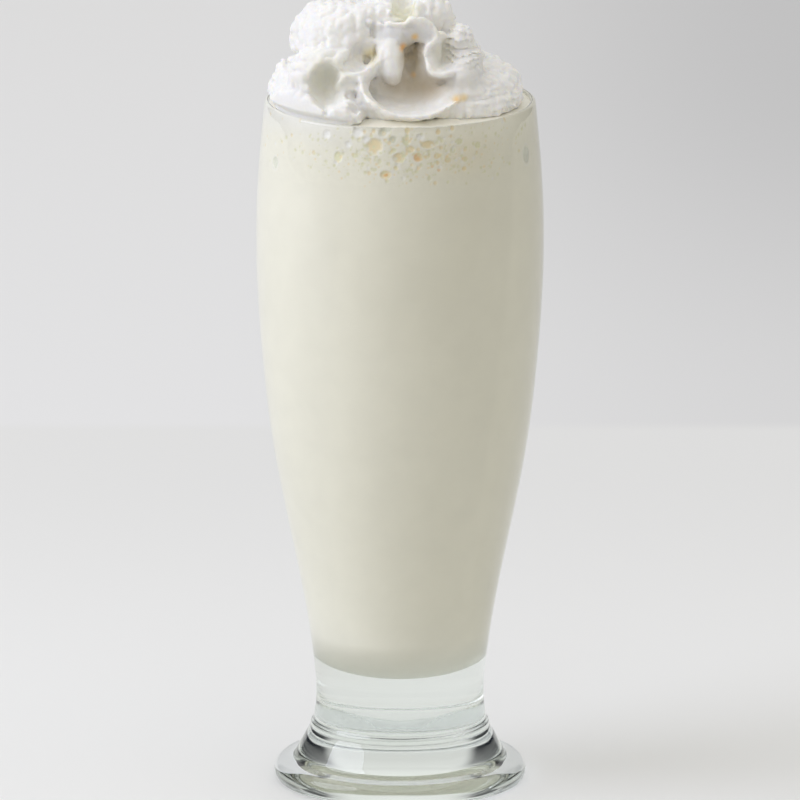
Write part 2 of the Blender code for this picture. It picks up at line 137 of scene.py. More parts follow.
HOLLOWS = {
    "bowl": ((2.4, -25.0, 194.0), (10.9, 11.0, 7.9), 0),
    "channel": ((2.7, -19.5, 198.2), (2.4, 8.0, 7.2), 0),
    "right_trough": ((11.4, -15.0, 202.0), (2.3, 4.0, 6.0), -8),
    "left_recess": ((-10.0, -21.5, 199.9), (4.7, 6.0, 3.2), 25),
    "upper_pit": ((-6.8, -16.0, 205.6), (1.6, 3.6, 2.4), 0),
    "cave": ((-19.3, -28.0, 193.6), (4.8, 8.0, 6.1), 0),
    "cave_notch": ((-19.3, -31.0, 188.8), (1.4, 5.0, 3.8), 0),
    "cave_pit": ((-17.3, -25.0, 201.4), (1.1, 3.5, 1.5), 0),
    "front_dent": ((-11.6, -31.8, 187.8), (2.0, 3.5, 1.7), 0),
    "valley": ((1.0, -8.0, 211.5), (3.4, 7.0, 4.6), 0),
}
DRIP = (
    (-1.8, -14.5, 203.0, 2.6),
    (-2.4, -16.8, 199.4, 3.2),
    (-2.3, -18.2, 196.3, 3.0),
    (-1.5, -18.6, 193.6, 1.8),
)
DRIP_BLEND = 3.0
UNDERCUT = ((4.5, -33.0, 182.3), (14.0, 10.5, 2.6))  # below the bowl's lip, where the froth shows
SPIKE = ((-27.0, -1.0, 190.5, 2.4), (-29.7, -1.2, 193.0, 1.3), (-31.0, -1.4, 194.8, 0.5))

# The cream's unevenness: (size, depth, whether it is puffed up between sharp creases)
BUMPS = ((4.6, 0.6, False), (2.6, 0.5, True), (1.5, 0.34, False), (0.95, 0.2, False))
CALM = (  # smoother places: (centre, radii, share of the unevenness that is left out)
    ((3.0, -25.0, 192.0), (13.0, 12.0, 9.0), 0.7),
    ((-19.2, -26.0, 193.4), (5.0, 8.0, 6.0), 0.7),
    ((10.0, -14.0, 201.0), (3.5, 6.0, 7.0), 0.7),
    ((16.3, -18.5, 193.0), (4.5, 5.0, 5.0), 0.5),
    ((2.0, -17.0, 203.0), (8.0, 5.0, 5.0), 0.4),
)
RIDGE_SEED = 10
RIDGES = (  # stacked shelves: (centre, radii, pitch, depth)
    ((17.0, -9.0, 200.0), (5.5, 12.0, 6.5), 1.5, 0.36),
    ((26.0, -16.0, 187.0), (9.0, 12.0, 4.5), 1.7, 0.22),
)

# Thin folds at the front: (x, y, z, share of the fold's thickness) along the free edge
BOWL_LIP = (
    (-4.4, -15.0, 203.4, 0.7),
    (-4.6, -18.5, 199.8, 0.9),
    (-6.3, -21.0, 197.9, 1.0),
    (-9.6, -23.8, 195.4, 1.0),
    (-9.9, -26.6, 192.8, 1.0),
    (-8.6, -29.0, 190.4, 1.0),
    (-7.0, -30.2, 189.2, 1.0),
    (-4.4, -31.0, 187.4, 1.0),
    (-0.6, -31.5, 186.2, 1.0),
    (5.6, -31.4, 186.0, 1.0),
    (8.8, -30.4, 186.6, 0.9),
    (11.6, -28.8, 187.6, 0.8),
    (13.4, -27.0, 188.4, 0.6),
    (15.2, -24.8, 188.9, 0.3),
)
RECESS_LIP = (
    (-6.0, -20.8, 198.2, 0.8),
    (-9.8, -23.8, 196.4, 1.0),
    (-13.4, -25.2, 196.0, 1.0),
    (-15.6, -25.6, 194.2, 0.6),
)
TONGUE = (
    (-7.4, -12.6, 206.6, 0.8),
    (-4.2, -15.0, 207.0, 0.9),
    (-0.5, -16.3, 207.4, 1.0),
    (1.5, -16.5, 207.6, 1.0),
    (3.6, -16.6, 209.0, 1.0),
    (7.9, -15.8, 208.3, 1.0),
    (9.2, -15.8, 206.0, 0.9),
    (9.6, -16.2, 203.6, 0.7),
)
RIGHT_FOLD = (
    (9.6, -16.4, 203.6, 0.8),
    (6.8, -17.8, 200.8, 0.9),
    (7.2, -19.6, 198.0, 1.0),
    (8.4, -20.8, 195.6, 1.0),
    (11.2, -20.8, 195.0, 1.0),
    (14.6, -19.2, 195.8, 0.9),
    (17.6, -16.6, 197.2, 0.7),
    (19.6, -13.0, 198.5, 0.4),
)
FOLDS = (  # free edge, way back to its root, radii at the edge and at the root, rounding where it joins
    (BOWL_LIP, (0, 4.4, -1.4), 0.6, 1.7, 1.2),
    (RECESS_LIP, (0, 3.5, -2.0), 0.6, 1.8, 1.2),
    (TONGUE, (0, 2.0, -4.6), 0.7, 1.8, 1.0),
    (RIGHT_FOLD, (0.8, 6.0, -0.8), 0.8, 2.3, 1.4),
)


def socket(node, name, value):
    """Sets one of a node's inputs."""
    node.inputs[name].default_value = value


def camera():
    """The photograph's view."""
    rise = math.radians(CAMERA_RISE)
    back = Vector((0, -math.cos(rise), math.sin(rise)))
    lens = bpy.data.cameras.new("camera")
    lens.sensor_width = 36
    lens.lens = lens.sensor_width * CAMERA_DISTANCE_M / FRAME_HEIGHT_M
    lens.clip_end = 50
    made = bpy.data.objects.new("camera", lens)
    bpy.context.scene.collection.objects.link(made)
    made.location = Vector((0, 0, CAMERA_AIM_M)) + back * CAMERA_DISTANCE_M
    made.rotation_euler = (-back).to_track_quat("-Z", "Y").to_euler()
    bpy.context.scene.camera = made


def key_light():
    """A round soft light that faces the glass."""
    lamp = bpy.data.lights.new("key", "AREA")
    lamp.shape = "DISK"
    lamp.size = KEY_SIZE_M
    lamp.energy = KEY_POWER
    lamp.color = KEY_COLOUR
    made = bpy.data.objects.new("key", lamp)
    bpy.context.scene.collection.objects.link(made)
    made.location = KEY_AT_M
    made.rotation_euler = (Vector(KEY_AT_M) - Vector(KEY_AIM_M)).to_track_quat("Z", "Y").to_euler()


def new_material(name):
    """A material, its node tree and its Principled shader."""
    made = bpy.data.materials.new(name)
    made.use_nodes = True
    tree = made.node_tree
    return made, tree, tree.nodes["Principled BSDF"]


def link(tree, source, output, target, name):
    """Joins an output of one node to an input of another."""
    tree.links.new(source.outputs[output], target.inputs[name])


def ramp(tree, position, stops):
    """A colour ramp through (position, colour) stops."""
    made = tree.nodes.new("ShaderNodeValToRGB")
    elements = made.color_ramp.elements
    while len(elements) < len(stops):
        elements.new(0.5)
    for element, (at, colour) in zip(elements, stops):
        element.position = at
        element.color = (*colour, 1)
    tree.links.new(position, made.inputs["Fac"])
    return made.outputs["Color"]


def smooth_step(tree, value, low, high):
    """A share that rises smoothly from 0 at low to 1 at high, or falls where high is the smaller."""
    made = tree.nodes.new("ShaderNodeMapRange")
    made.interpolation_type = "SMOOTHSTEP"
    socket(made, "From Min", min(low, high))
    socket(made, "From Max", max(low, high))
    socket(made, "To Min", float(low > high))
    socket(made, "To Max", float(low < high))
    tree.links.new(value, made.inputs["Value"])
    return made.outputs["Result"]


def product(tree, first, second):
    """Two shares multiplied."""
    made = tree.nodes.new("ShaderNodeMath")
    made.operation = "MULTIPLY"
    tree.links.new(first, made.inputs[0])
    tree.links.new(second, made.inputs[1])
    return made.outputs["Value"]


def mixed(tree, share, first, second):
    """A mix of two colours, each a socket or a plain colour."""
    made = tree.nodes.new("ShaderNodeMix")
    made.data_type = "RGBA"
    tree.links.new(share, made.inputs["Factor"])
    for place, colour in ((6, first), (7, second)):
        if isinstance(colour, tuple):
            made.inputs[place].default_value = (*colour, 1)
        else:
            tree.links.new(colour, made.inputs[place])
    return made.outputs[2]


def direction(tree, output):
    """The x, y and z of a texture coordinate."""
    place = tree.nodes.new("ShaderNodeTexCoord")
    split = tree.nodes.new("ShaderNodeSeparateXYZ")
    link(tree, place, output, split, "Vector")
    return split.outputs["X"], split.outputs["Y"], split.outputs["Z"]


# The floor: where its tones pass into one another, and the tones. Some tones are painted light and shade:
# lighter close round the glass, and darker to the right and far right.
FLOOR_R_M = 1.6
FLOOR_STEP_Y_M = (0.388, 0.402)
FLOOR_CLOSE_Y_M = (0.36, 0.08)
FLOOR_FRONT_Y_M = (-0.22, -0.5)
FLOOR_RIGHT_X_M = (-0.06, 0.14)
FLOOR_FAR_Y_M = (0.38, 0.9)
# painted light: the floor close round the glass is lighter
FLOOR_CLOSE = (0.84, 0.84, 0.825)
FLOOR_NEAR = (0.78, 0.78, 0.765)
FLOOR_BACK = (0.80, 0.80, 0.795)
# painted shade: the back darkens to the right, and further still far to the right
FLOOR_BACK_RIGHT = (0.72, 0.72, 0.715)
FLOOR_FAR_RIGHT = (0.60, 0.60, 0.60)
FLOOR_FRONT = (0.46, 0.455, 0.44)
FLOOR_ROUGHNESS = 0.7
FLOOR_SPECULAR = 0.15


def floor():
    """A round pale floor: it steps to another tone behind the glass, is painted lighter close round the
    glass and painted into shade to the right and far right, and darkens in front.
    """
    work = bmesh.new()
    bmesh.ops.create_circle(work, cap_ends=True, segments=128, radius=FLOOR_R_M)
    mesh = bpy.data.meshes.new("floor")
    work.to_mesh(mesh)
    work.free()
    made = bpy.data.objects.new("floor", mesh)
    bpy.context.scene.collection.objects.link(made)
    material, tree, shader = new_material("floor")
    x, y, _ = direction(tree, "Object")
    right = mixed(tree, smooth_step(tree, y, *FLOOR_FAR_Y_M), FLOOR_BACK_RIGHT, FLOOR_FAR_RIGHT)
    back = mixed(tree, smooth_step(tree, x, *FLOOR_RIGHT_X_M), FLOOR_BACK, right)
    close = mixed(tree, smooth_step(tree, y, *FLOOR_CLOSE_Y_M), FLOOR_NEAR, FLOOR_CLOSE)
    near = mixed(tree, smooth_step(tree, y, *FLOOR_STEP_Y_M), close, back)
    tone = mixed(tree, smooth_step(tree, y, *FLOOR_FRONT_Y_M), near, FLOOR_FRONT)
    tree.links.new(tone, shader.inputs["Base Color"])
    socket(shader, "Roughness", FLOOR_ROUGHNESS)
    socket(shader, "Specular IOR Level", FLOOR_SPECULAR)
    mesh.materials.append(material)


# The room: (position, grey) of each light band, where position is 0 straight down, 0.5 level and
# 1 straight up. The dark places at its sides are bounded by a turn from the back, in radians, and by the
# z of the direction.
ROOM_BACK = ((0.0, 0.50), (0.48, 0.64), (0.52, 0.70), (0.62, 0.70), (0.75, 0.78), (1.0, 0.95))
ROOM_FRONT = ((0.0, 0.50), (0.48, 0.62), (0.52, 0.74), (0.65, 0.69), (0.80, 0.79), (1.0, 0.93))
ROOM_DARK = (0.012, 0.014, 0.02)
ROOM_WARMTH = (1.0, 0.975, 0.93)
ROOM_FRONT_Y = (0.1, -0.4)
DARK_FROM_TURN = (0.42, 0.58)
DARK_TO_TURN = (1.5, 1.1)
DARK_FROM_Z = (-0.3, -0.2)
DARK_TO_Z = (0.75, 0.12)


def world():
    """A pale room: its back wall ends in darkness to the left and the right."""
    made = bpy.data.worlds.new("room")
    bpy.context.scene.world = made
    made.use_nodes = True
    tree = made.node_tree
    background = tree.nodes["Background"]
    x, y, z = direction(tree, "Generated")
    up = tree.nodes.new("ShaderNodeMapRange")
    socket(up, "From Min", -1.0)
    tree.links.new(z, up.inputs["Value"])
    up = up.outputs["Result"]
    walls = [
        ramp(tree, up, [(at, tuple(grey * tone for tone in warmth)) for at, grey in bands])
        for bands, warmth in ((ROOM_BACK, (1, 1, 1)), (ROOM_FRONT, ROOM_WARMTH))
    ]
    colour = mixed(tree, smooth_step(tree, y, *ROOM_FRONT_Y), *walls)
    aside = tree.nodes.new("ShaderNodeMath")
    aside.operation = "ABSOLUTE"
    tree.links.new(x, aside.inputs[0])
    turn = tree.nodes.new("ShaderNodeMath")
    turn.operation = "ARCTAN2"
    tree.links.new(aside.outputs["Value"], turn.inputs[0])
    tree.links.new(y, turn.inputs[1])
    turn = turn.outputs["Value"]
    dark = product(tree, smooth_step(tree, turn, *DARK_FROM_TURN), smooth_step(tree, turn, *DARK_TO_TURN))
    low = product(tree, smooth_step(tree, z, *DARK_TO_Z), smooth_step(tree, z, *DARK_FROM_Z))
    colour = mixed(tree, product(tree, dark, low), colour, ROOM_DARK)
    tree.links.new(colour, background.inputs["Color"])
    socket(background, "Strength", 1.0)


ON_PLANE = 0.002  # how far from the plane of the outline a corner may lie


def section(node):
    """A turned CAD solid's outline as (radius, z) points, from the axis low down to the axis above."""
    mesh = frame["nodes"][node].data
    key = {}
    for corner in mesh.vertices:
        x, y, z = (round(value / METRES, 3) for value in corner.co)
        if abs(y) < ON_PLANE and x > -ON_PLANE:
            key[corner.index] = (max(x, 0.0), z)
    beside = {}
    for edge in mesh.edges:
        first, second = (key.get(index) for index in edge.vertices)
        if first and second and first != second:
            beside.setdefault(first, set()).add(second)
            beside.setdefault(second, set()).add(first)
    ends = sorted((point for point in beside if len(beside[point]) == 1), key=lambda point: point[::-1])
    outline = [ends[0]]
    while outline[-1] != ends[-1]:
        ahead = [point for point in beside[outline[-1]] if point not in outline]
        outline.append(min(ahead, key=lambda point: math.dist(point, outline[-1])))
    start = [] if outline[0][0] == 0 else [(0.0, outline[0][1])]
    end = [] if outline[-1][0] == 0 else [(0.0, outline[-1][1])]
    return start + outline + end


def rounded(outline, sharp=32, parts=4):
    """The outline with smooth curves through its points, except at corners sharper than sharp degrees."""
    points = [np.array(point) for point in outline]

    def turn(i):
        if i == 0 or i == len(points) - 1:
            return 90.0
        before, after = points[i] - points[i - 1], points[i + 1] - points[i]
        cosine = before @ after / (np.linalg.norm(before) * np.linalg.norm(after))
        return math.degrees(math.acos(np.clip(cosine, -1, 1)))

    def direction(i):
        return (points[i + 1] - points[i - 1]) / np.linalg.norm(points[i + 1] - points[i - 1])

    fine = []
    for i in range(len(points) - 1):
        start, end = points[i], points[i + 1]
        chord = end - start
        length = np.linalg.norm(chord)
        leave = direction(i) * length if turn(i) < sharp else chord
        arrive = direction(i + 1) * length if turn(i + 1) < sharp else chord
        for t in np.arange(parts) / parts:
            ease = t * t * (3 - 2 * t)
            lean = leave * (t - 2 * t**2 + t**3) + arrive * (t**3 - t**2)
            fine.append(tuple(start + chord * ease + lean))
    return fine + [tuple(points[-1])]


def mesh_object(name, points, faces, material, node):
    """A smooth piece that replaces a CAD node, from points in millimetres."""
    mesh = bpy.data.meshes.new(name)
    mesh.from_pydata((np.asarray(points) * METRES).tolist(), [], [list(face) for face in faces])
    mesh.shade_smooth()
    mesh.set_sharp_from_angle(angle=math.radians(SHARP_ANGLE))
    mesh.materials.append(material)
    made = bpy.data.objects.new(name, mesh)
    bpy.context.scene.collection.objects.link(made)
    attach(made, "root")
    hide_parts(node)
    return made


def lathe(outline, around=AROUND):
    """Points and faces of a closed turned solid, from an outline that starts and ends on the axis."""
    turns = math.tau * np.arange(around) / around
    radius, height = np.array(outline[1:-1]).T
    ring = np.stack([np.outer(radius, np.cos(turns)), np.outer(radius, np.sin(turns))], -1)
    points = np.concatenate([ring, np.repeat(height[:, None, None], around, 1)], -1).reshape(-1, 3)
    count = len(radius)
    faces = []
    for row in range(count - 1):
        for column in range(around):
            beside = (column + 1) % around
            here, above = row * around, (row + 1) * around
            faces.append((here + column, here + beside, above + beside, above + column))
    first, last = len(points), len(points) + 1
    points = np.vstack([points, (0, 0, outline[0][1]), (0, 0, outline[-1][1])])
    end = (count - 1) * around
    for column in range(around):
        beside = (column + 1) % around
        faces.append((first, beside, column))
        faces.append((last, end + column, end + beside))
    return points, faces


def through(stations, gap):
    """Points about gap apart on a smooth curve through the stations, which may carry further values."""
    given = [np.array(station, float) for station in stations]
    given = [2 * given[0] - given[1]] + given + [2 * given[-1] - given[-2]]
    points = []
    for before, start, end, after in zip(given, given[1:], given[2:], given[3:]):
        count = max(int(np.linalg.norm((end - start)[:3]) / gap), 2)
        for t in np.linspace(0, 1, count, endpoint=False):
            bend = 2 * before - 5 * start + 4 * end - after
            twist = 3 * start - before - 3 * end + after
            points.append((2 * start + (end - before) * t + bend * t**2 + twist * t**3) / 2)
    return np.array(points + [given[-2]])


def joined(a, b, blend):
    """The union of two distance fields, rounded over the width blend."""
    overlap = np.maximum(blend - np.abs(a - b), 0) / blend
    return np.minimum(a, b) - overlap**2 * blend / 4


class Cream:
    """A block of points, each with its distance to the cream's surface, negative inside the cream."""

    FAR = 9.0  # the distance where no shape is near
    MARGIN = 2.0  # worked out round each shape, for its blend
    EDGE_BLEND = 0.8  # rounding at the wall of the glass
    TURN_GAP = 10  # degrees between the points of a turn
    FOLD_GAP = 0.6
    NOISE_TABLE = 32
    WITHIN, WITHIN_SLOPE = 3, 2.5  # a share falls from 1 at 0.8 of the radii to 0 at 1.2
    SHELF_WANDER, SHELF_WANDER_SIZE = 0.7, 5.0  # shares of the pitch, and over what length

    def __init__(self, low, high, step):
        self.low = np.array(low, float)
        self.step = step
        counts = np.ceil((np.array(high) - self.low) / step).astype(int) + 1
        self.axes = [self.low[i] + step * np.arange(counts[i]) for i in range(3)]
        self.distance = np.full(counts, self.FAR, np.float32)

    def near(self, low, high):
        """The slice of the block from low to high, and its points' coordinates."""
        cut = []
        for i in range(3):
            first, last = np.searchsorted(self.axes[i], (low[i], high[i]))
            cut.append(slice(first, last))
        x, y, z = (self.axes[i][cut[i]].astype(np.float32) for i in range(3))
        return tuple(cut), x[:, None, None], y[None, :, None], z[None, None, :]

    def bars(self, starts, ends, flutes=0):
        """Distance to round bars, each from a start to an end (x, y, z, radius), sharply joined."""
        field = np.full_like(self.distance, self.FAR)
        side = np.array((0.0, 0.0, 1.0))
        for start, end in zip(starts, ends):
            reach = max(start[3], end[3]) + self.MARGIN
            low, high = np.minimum(start, end)[:3] - reach, np.maximum(start, end)[:3] + reach
            cut, x, y, z = self.near(low, high)
            along = (end - start)[:3]
            length = max(float(along @ along), 1e-9)
            x, y, z = x - start[0], y - start[1], z - start[2]
            t = np.clip((x * along[0] + y * along[1] + z * along[2]) / length, 0, 1)
            x, y, z = x - t * along[0], y - t * along[1], z - t * along[2]
            radius = start[3] + (end[3] - start[3]) * t
            if flutes:
                ahead = along / math.sqrt(length)
                side = side - ahead * (side @ ahead)
                side /= np.linalg.norm(side)
                up = np.cross(ahead, side)
                across = x * side[0] + y * side[1] + z * side[2]
                turn = np.arctan2(x * up[0] + y * up[1] + z * up[2], across)
                radius = radius * (1 - FLUTE_DEPTH * (1 - np.abs(np.cos(turn * flutes / 2))))
            field[cut] = np.minimum(field[cut], np.sqrt(x * x + y * y + z * z) - radius)
        return field

    def ball(self, centre, radii, lean=0.0):
        """The slice round an ellipsoid that leans about Y, in degrees, and the distance to it there."""
        reach = max(radii) + 2 * self.MARGIN
        cut, x, y, z = self.near(np.array(centre) - reach, np.array(centre) + reach)
        x, y, z = x - centre[0], y - centre[1], z - centre[2]
        cosine, sine = math.cos(math.radians(lean)), math.sin(math.radians(lean))
        x, z = cosine * x + sine * z, cosine * z - sine * x
        scaled = np.sqrt((x / radii[0]) ** 2 + (y / radii[1]) ** 2 + (z / radii[2]) ** 2)
        slope = np.sqrt((x / radii[0] ** 2) ** 2 + (y / radii[1] ** 2) ** 2 + (z / radii[2] ** 2) ** 2)
        return cut, scaled * (scaled - 1) / (slope + 1e-6)

    def add_rope(self, stations, flutes=0, blend=2.0):
        """Adds a rope through (x, y, z, radius) stations."""
        path = through(stations, self.step)
        self.distance = joined(self.distance, self.bars(path[:-1], path[1:], flutes), blend)

    def add_turn(self, stations, shift=0.0):
        """Adds a turn of fluted rope through (degrees, ring radius, height, rope radius) stations."""
        turn, ring, height, radius = through(stations, self.TURN_GAP).T
        turn = np.radians(turn)
        path = np.stack([ring * np.sin(turn) + shift, -ring * np.cos(turn), height, radius], 1)
        self.add_rope(path, FLUTES)

    def add_fold(self, edge, back, edge_r, root_r, blend):
        """Adds a sheet from a thin free edge to a thick root, which lies back from the edge by a vector."""
        path = through(edge, self.FOLD_GAP)
        share = np.clip(path[:, 3:], 0.1, 1)
        starts = np.hstack([path[:, :3], edge_r * share])
        ends = np.hstack([path[:, :3] + np.array(back), root_r * share])
        self.distance = joined(self.distance, self.bars(starts, ends), blend)

    def add_ball(self, centre, radii, lean=0.0, blend=2.0):
        """Adds a lump."""
        cut, ball = self.ball(centre, radii, lean)
        self.distance[cut] = joined(self.distance[cut], ball, blend)

    def cut_ball(self, centre, radii, lean=0.0, blend=1.4):
        """Cuts a hollow."""
        cut, ball = self.ball(centre, radii, lean)
        self.distance[cut] = -joined(-self.distance[cut], ball, blend)

    def noise(self, close, size, seed):
        """Smooth random values from -1 to 1 at some points, in bumps of about the given size."""
        count = self.NOISE_TABLE
        table = np.random.default_rng(seed).uniform(-1, 1, (count, count, count))
        at = [self.axes[i][close[i]] / size for i in range(3)]
        cell = [np.floor(values).astype(int) for values in at]
        part = [values - whole for values, whole in zip(at, cell)]
        part = [share * share * (3 - 2 * share) for share in part]
        values = np.zeros(len(close[0]))
        for corner in np.ndindex(2, 2, 2):
            weight = np.ones(len(values))
            for i in range(3):
                weight *= part[i] if corner[i] else 1 - part[i]
            index = tuple((cell[i] + corner[i]) % count for i in range(3))
            values += weight * table[index]
        return values

    def within(self, close, centre, radii):
        """1 deep inside an ellipsoid, falling to 0 a little outside it, at some points."""
        apart = sum(((self.axes[i][close[i]] - centre[i]) / radii[i]) ** 2 for i in range(3))
        return np.clip(self.WITHIN - self.WITHIN_SLOPE * np.sqrt(apart), 0, 1)

    def roughen(self, size, depth, puffed, seed):
        """Moves the surface in and out by up to depth, in bumps of about the given size."""
        close = np.nonzero(np.abs(self.distance) < 2 * depth)
        bumps = self.noise(close, size, seed)
        if puffed:
            bumps = 0.5 - 2 * abs(bumps)
        for centre, radii, share in CALM:
            bumps *= 1 - share * self.within(close, centre, radii)
        self.distance[close] += (depth * bumps).astype(np.float32)

    def add_ridges(self, centre, radii, pitch, depth, seed):
        """Stacks thin shelves on the surface, one above the other, inside an ellipsoid."""
        close = np.nonzero(np.abs(self.distance) < 2 * depth)
        wander = self.SHELF_WANDER * self.noise(close, self.SHELF_WANDER_SIZE, seed)
        phase = self.axes[2][close[2]] / pitch + wander
        step = (phase % 1 - 0.5) * self.within(close, centre, radii)
        self.distance[close] += (2 * depth * step).astype(np.float32)

    def trim(self):
        """Cuts the flat underside and keeps the cream inside the glass, or clear above its rim."""
        cut, x, y, z = self.near(self.low - 1, self.low + 1e3)
        over = np.maximum(z - CREAM_OVERHANG_Z, 0) * CREAM_OVERHANG_SLOPE
        limit = np.minimum(CREAM_INSIDE_R + over, CREAM_OVERHANG_R)
        outside = np.sqrt(x * x + y * y) - limit
        self.distance = -joined(-self.distance, -outside, self.EDGE_BLEND)
        self.distance = np.maximum(self.distance, CREAM_FLOOR_Z - z)

    def close_touches(self):
        """Fills the grid's points where the surface would touch itself along an edge or at a corner."""
        filling = True
        while filling:
            filling = False
            inside = self.distance < 0
            squares = [(1, 1, 0), (1, 0, 1), (0, 1, 1)]
            for extent in squares + [(1, 1, 1)]:
                corners = list(np.ndindex(*(count + 1 for count in extent)))
                size = [count - along for count, along in zip(inside.shape, extent)]
                cuts = [tuple(slice(c, c + s) for c, s in zip(corner, size)) for corner in corners]
                full = sum(inside[cut].astype(np.int8) for cut in cuts)
                touch = np.zeros(size, bool)
                for near, far in zip(cuts[: len(cuts) // 2], cuts[::-1]):
                    pair = inside[near].astype(np.int8) + inside[far]
                    touch |= (pair == full) & (full == 2)
                    if extent == (1, 1, 1):
                        touch |= (pair == 0) & (full == 6)
                if touch.any():
                    filling = True
                    for cut in cuts:
                        view = self.distance[cut]
                        view[touch] = np.minimum(view[touch], -self.step / 4)
                    inside = self.distance < 0

    def surface(self):
        """Corners and four-sided faces of the cream's surface, one corner in each cell that it crosses."""
        inside = self.distance < 0
        size = [count - 1 for count in inside.shape]
        corners = list(np.ndindex(2, 2, 2))
        views = [inside[tuple(slice(c, c + s) for c, s in zip(corner, size))] for corner in corners]
        full = sum(view.astype(np.int8) for view in views)
        cells = np.nonzero((full > 0) & (full < len(corners)))
        number = np.full(size, -1)
        number[cells] = np.arange(len(cells[0]))
        value = {c: self.distance[tuple(cell + step for cell, step in zip(cells, c))] for c in corners}
        total = np.zeros((len(cells[0]), 3))
        crossings = np.zeros((len(cells[0]), 1))
        for corner in corners:
            for axis in range(3):
                if corner[axis]:
                    continue
                far = value[tuple(1 if i == axis else corner[i] for i in range(3))]
                crossed = (value[corner] < 0) != (far < 0)
                point = np.tile(np.array(corner, float), (len(far), 1))
                point[crossed, axis] += (value[corner] / np.where(crossed, value[corner] - far, 1))[crossed]
                total += point * crossed[:, None]
                crossings += crossed[:, None]
        points = self.low + (np.stack(cells, 1) + total / crossings) * self.step
        faces = []
        for axis in range(3):
            first, second = (i for i in range(3) if i != axis)
            here = inside.take(range(size[axis]), axis)
            there = inside.take(range(1, size[axis] + 1), axis)
            edges = np.nonzero(here != there)
            kept = np.all([(edges[i] > 0) & (edges[i] < size[i]) for i in (first, second)], axis=0)
            edges = [values[kept] for values in edges]
            ring = []
            for shift in ((0, 0), (1, 0), (1, 1), (0, 1)):
                cell = list(edges)
                cell[first] = cell[first] - shift[0]
                cell[second] = cell[second] - shift[1]
                ring.append(number[tuple(cell)])
            quads = np.stack(ring, 1)
            inward = here[tuple(edges)] == (axis == 1)
            quads[inward] = quads[inward][:, ::-1]
            faces.append(quads)
        return points, np.concatenate(faces)


def shaped_cream(step):
    """The whole swirl as a distance field on a grid of the given step."""
    low = (-CREAM_REACH, -CREAM_REACH, CREAM_FLOOR_Z - CREAM_BELOW)
    cream = Cream(low, (CREAM_REACH, CREAM_REACH, CREAM_TOP_Z), step)
    cream.add_turn(LOWER_TURN)
    cream.add_turn(MIDDLE_TURN, MIDDLE_SHIFT)
    cream.add_turn(TOP_TURN, TOP_SHIFT)
    for lump in LUMPS.values():
        cream.add_ball(*lump)
    cream.add_rope(SPIKE)
    for hollow in HOLLOWS.values():
        cream.cut_ball(*hollow)
    cream.add_rope(DRIP, blend=DRIP_BLEND)
    for fold in FOLDS:
        cream.add_fold(*fold)
    cream.cut_ball(*UNDERCUT)
    for seed, bump in enumerate(BUMPS):
        cream.roughen(*bump, seed)
    for seed, ridge in enumerate(RIDGES):
        cream.add_ridges(*ridge, RIDGE_SEED + seed)
    cream.trim()
    cream.close_touches()
    return cream


def colour_of(mesh, name, values):
    """Stores a colour for each point of the mesh."""
    layer = mesh.color_attributes.new(name, "FLOAT_COLOR", "POINT")
    layer.data.foreach_set("color", np.hstack([values, np.ones((len(values), 1))]).ravel())


# The glass's looks
GLASS_TINT = (0.98, 0.988, 0.98)
GLASS_DEPTH_TINT = (0.78, 0.885, 0.77)
GLASS_DEPTH = 7.0  # absorption per metre
GLASS_IOR = 1.5
GLASS_ROUGHNESS = (0.03, 0.07)
SMUDGE_SCALE = 45.0
SMUDGE_SHARE = (0.45, 0.8)  # of the noise, where the roughness rises
WAVE_SCALE = 60.0
WAVE_STRENGTH = 0.05
WAVE_DEPTH = 0.4


def glass_material():
    """Clear, faintly green glass with a slight waviness and faint smudges."""
    made, tree, shader = new_material("clear_glass")
    socket(shader, "Base Color", (*GLASS_TINT, 1))
    absorption = tree.nodes.new("ShaderNodeVolumeAbsorption")
    socket(absorption, "Color", (*GLASS_DEPTH_TINT, 1))
    socket(absorption, "Density", GLASS_DEPTH)
    link(tree, absorption, "Volume", tree.nodes["Material Output"], "Volume")
    socket(shader, "Transmission Weight", 1.0)
    socket(shader, "IOR", GLASS_IOR)
    smudges = tree.nodes.new("ShaderNodeTexNoise")
    socket(smudges, "Scale", SMUDGE_SCALE)
    socket(smudges, "Detail", 4.0)
    rough = tree.nodes.new("ShaderNodeMapRange")
    socket(rough, "From Min", SMUDGE_SHARE[0])
    socket(rough, "From Max", SMUDGE_SHARE[1])
    socket(rough, "To Min", GLASS_ROUGHNESS[0])
    socket(rough, "To Max", GLASS_ROUGHNESS[1])
    waves = tree.nodes.new("ShaderNodeTexNoise")
    socket(waves, "Scale", WAVE_SCALE)
    socket(waves, "Detail", 1.0)
    bump = tree.nodes.new("ShaderNodeBump")
    socket(bump, "Strength", WAVE_STRENGTH)
    socket(bump, "Distance", WAVE_DEPTH * METRES)
    place = tree.nodes.new("ShaderNodeTexCoord")
    link(tree, place, "Object", smudges, "Vector")
    link(tree, place, "Object", waves, "Vector")
    link(tree, smudges, "Fac", rough, "Value")
    link(tree, rough, "Result", shader, "Roughness")
    link(tree, waves, "Fac", bump, "Height")
    link(tree, bump, "Normal", shader, "Normal")
    return made


# The looks that the drink, the froth and the cream share
PALE_VARIATION = (0.96, 1.04)
PALE_BUMP = 0.5
PALE_SPECULAR = 0.3
PALE_SCATTER = (1.0, 0.9, 0.7)


